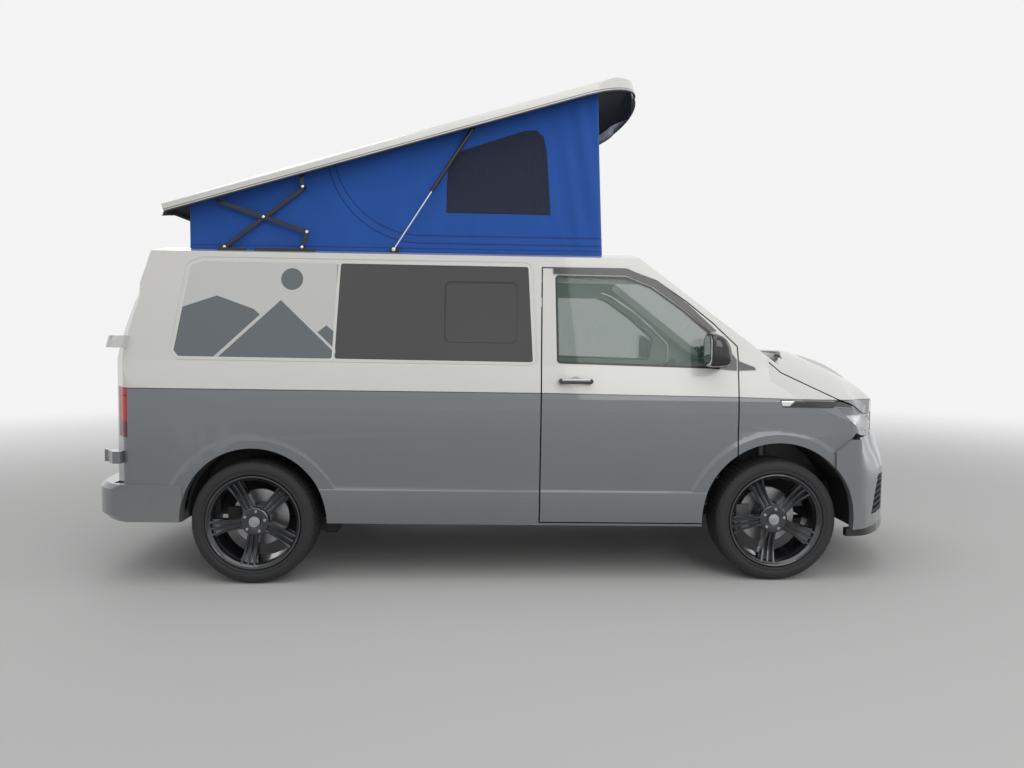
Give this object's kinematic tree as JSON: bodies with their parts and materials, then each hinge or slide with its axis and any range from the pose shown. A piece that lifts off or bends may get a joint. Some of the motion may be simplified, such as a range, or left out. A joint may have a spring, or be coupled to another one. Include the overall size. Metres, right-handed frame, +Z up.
{
  "type": "camper van",
  "caption": "Medium panel van made into a camper, with side-hinged rear doors and a rear-hinged rising roof with canvas sides, shown raised.",
  "frame": {"origin": "on the ground under the middle of the vehicle's length and width", "axes": "+X forwards, +Y to the vehicle's left, +Z up"},
  "size_m": [4.927, 2.29, 2.9551],
  "materials": {
    "two_tone_paint": "gloss, off-white over blue-grey",
    "white_paint": "gloss",
    "grey_paint": "gloss",
    "shell_white": "gloss moulded",
    "tinted_glass": "privacy tint",
    "clear_glass": "green tint",
    "gloss_black": "gloss",
    "black_plastic": "satin",
    "lamp_lens": "clear lens",
    "lamp_bowl": "metallised",
    "red_lens": "gloss",
    "underbody": "coated",
    "cast_metal": "cast",
    "seat_cloth": "woven",
    "unit_board": "laminate",
    "black_steel": "satin",
    "bright_rod": "polished",
    "canvas": "woven, coated",
    "tyre": "matte",
    "dark_alloy": "anthracite lacquer"
  },
  "bodies": {
    "root": {"side_panel_right": "two_tone_paint", "side_panel_left": "two_tone_paint", "sliding_door": "two_tone_paint", "roof_panel": "white_paint", "fixed_glass": "tinted_glass", "scuttle": "black_plastic", "front_wings": "two_tone_paint", "headlamps": "lamp_lens", "lamp_bodies": "lamp_bowl", "front_bumper": "grey_paint", "front_grilles": "black_plastic", "black_trims": "gloss_black", "splitter": "gloss_black", "rear_bumper": "grey_paint", "tail_lamps": "red_lens", "floor_pan": "underbody", "arch_liners": "black_plastic", "underframe": "underbody", "engine_block": "cast_metal", "dashboard": "black_plastic", "front_seats": "seat_cloth", "rear_bench": "seat_cloth", "camper_units": "unit_board", "front_subframe": "underbody", "rear_axle": "underbody", "scissor_feet": "black_steel", "roof_canvas": "canvas"},
    "cab_door_right": {"cab_door_right": "two_tone_paint", "cab_glass_right": "clear_glass", "mirror_right": "gloss_black", "door_trim_right": "gloss_black"},
    "cab_door_left": {"cab_door_left": "two_tone_paint", "cab_glass_left": "clear_glass", "mirror_left": "gloss_black", "door_trim_left": "gloss_black"},
    "rear_door_right": {"rear_door_right": "two_tone_paint", "rear_glass_right": "tinted_glass"},
    "rear_door_left": {"rear_door_left": "two_tone_paint", "rear_glass_left": "tinted_glass"},
    "bonnet": {"bonnet": "two_tone_paint"},
    "steering_wheel": {"steering_wheel": "black_plastic"},
    "knuckle_left": {"knuckle_left": "cast_metal"},
    "knuckle_right": {"knuckle_right": "cast_metal"},
    "roof_shell": {"roof_shell": "shell_white"},
    "scissor_arm_long": {"scissor_arm_long": "black_steel"},
    "scissor_arm_cross": {"scissor_arm_cross": "black_steel"},
    "scissor_link_top": {"scissor_link_top": "black_steel"},
    "scissor_link_low": {"scissor_link_low": "black_steel"},
    "strut_cylinders": {"strut_cylinders": "black_steel"},
    "strut_rods": {"strut_rods": "bright_rod"},
    "wheel_front_left": {"rim_front_left": "dark_alloy", "tyre_front_left": "tyre"},
    "wheel_front_right": {"rim_front_right": "dark_alloy", "tyre_front_right": "tyre"},
    "wheel_rear_left": {"rim_rear_left": "dark_alloy", "tyre_rear_left": "tyre"},
    "wheel_rear_right": {"rim_rear_right": "dark_alloy", "tyre_rear_right": "tyre"}
  },
  "joints": [
    {"name": "cab_door_right_swing", "type": "hinge", "parent": "root", "child": "cab_door_right", "pos_m": [1.24421, -0.939, 0.74414], "axis": [0.0131, 0.0175, 0.9998], "range_deg": [0, 68]},
    {"name": "cab_door_left_swing", "type": "hinge", "parent": "root", "child": "cab_door_left", "pos_m": [1.24421, 0.939, 0.74414], "axis": [0.0131, -0.0175, 0.9998], "range_deg": [-68, 0]},
    {"name": "rear_door_right_swing", "type": "hinge", "parent": "root", "child": "rear_door_right", "pos_m": [-2.30735, -0.848, 1.03065], "axis": [0.0131, 0, 0.9999], "range_deg": [0, 90]},
    {"name": "rear_door_left_swing", "type": "hinge", "parent": "root", "child": "rear_door_left", "pos_m": [-2.30735, 0.848, 1.03065], "axis": [0.0131, 0, 0.9999], "range_deg": [-90, 0]},
    {"name": "bonnet_lift", "type": "hinge", "parent": "root", "child": "bonnet", "pos_m": [1.49675, 0, 1.31888], "axis": [0, -1, 0], "range_deg": [0, 50]},
    {"name": "steer_left", "type": "hinge", "parent": "root", "child": "knuckle_left", "pos_m": [1.52736, 0.655, 0.352], "axis": [0, 0, -1], "range_deg": [-35, 35]},
    {"name": "steer_right", "type": "hinge", "parent": "root", "child": "knuckle_right", "pos_m": [1.52736, -0.655, 0.352], "axis": [0, 0, -1], "range_deg": [-35, 35]},
    {"name": "steering_wheel_turn", "type": "hinge", "parent": "root", "child": "steering_wheel", "pos_m": [0.94208, -0.4, 1.11812], "axis": [0.7921, 0, -0.6104], "range_deg": [-508, 508]},
    {"name": "wheel_front_left_spin", "type": "hinge", "parent": "knuckle_left", "child": "wheel_front_left", "pos_m": [1.52736, 0.82, 0.352], "axis": [0, 1, 0], "continuous": true},
    {"name": "wheel_front_right_spin", "type": "hinge", "parent": "knuckle_right", "child": "wheel_front_right", "pos_m": [1.52736, -0.82, 0.352], "axis": [0, 1, 0], "continuous": true},
    {"name": "wheel_rear_left_spin", "type": "hinge", "parent": "root", "child": "wheel_rear_left", "pos_m": [-1.47264, 0.82, 0.352], "axis": [0, 1, 0], "continuous": true},
    {"name": "wheel_rear_right_spin", "type": "hinge", "parent": "root", "child": "wheel_rear_right", "pos_m": [-1.47264, -0.82, 0.352], "axis": [0, 1, 0], "continuous": true},
    {"name": "roof_lower", "type": "hinge", "parent": "root", "child": "roof_shell", "pos_m": [-2.65709, 0, 1.96931], "axis": [0, 1, 0], "range_deg": [0, 16.3], "deforming": ["roof_canvas"]},
    {"name": "arm_long_fold", "type": "hinge", "parent": "root", "child": "scissor_arm_long", "pos_m": [-1.67746, 0, 1.93448], "axis": [0, 1, 0], "range_deg": [0, 37.04]},
    {"name": "arm_cross_fold", "type": "hinge", "parent": "scissor_arm_long", "child": "scissor_arm_cross", "pos_m": [-1.44359, 0, 2.10596], "axis": [0, 1, 0], "range_deg": [-55.16, 0]},
    {"name": "link_low_fold", "type": "hinge", "parent": "root", "child": "scissor_link_low", "pos_m": [-1.2155, 0, 1.92843], "axis": [0, 1, 0], "range_deg": [0, 75.75]},
    {"name": "link_top_fold", "type": "hinge", "parent": "roof_shell", "child": "scissor_link_top", "pos_m": [-1.21597, 0, 2.34748], "axis": [0, 1, 0], "range_deg": [-100.55, 0]},
    {"name": "strut_fold", "type": "hinge", "parent": "roof_shell", "child": "strut_cylinders", "pos_m": [-0.2244, 0, 2.6234], "axis": [0, 1, 0], "range_deg": [0, 40.96]},
    {"name": "strut_rod_slide", "type": "slide", "parent": "strut_cylinders", "child": "strut_rods", "axis": [0.5524, 0, 0.8336], "range_m": [0, 0.29129]}
  ],
  "couplings": [
    {"joint": "steer_right", "follows": "steer_left", "ratio": 1},
    {"joint": "steering_wheel_turn", "follows": "steer_left", "ratio": 14.5},
    {"joint": "arm_long_fold", "follows": "roof_lower", "ratio": 2.2699},
    {"joint": "arm_cross_fold", "follows": "roof_lower", "ratio": -3.3804},
    {"joint": "link_low_fold", "follows": "roof_lower", "ratio": 4.6424},
    {"joint": "link_top_fold", "follows": "roof_lower", "ratio": -6.1627},
    {"joint": "strut_fold", "follows": "roof_lower", "ratio": 2.5102},
    {"joint": "strut_rod_slide", "follows": "roof_lower", "m_per_rad": 1.0229}
  ]
}
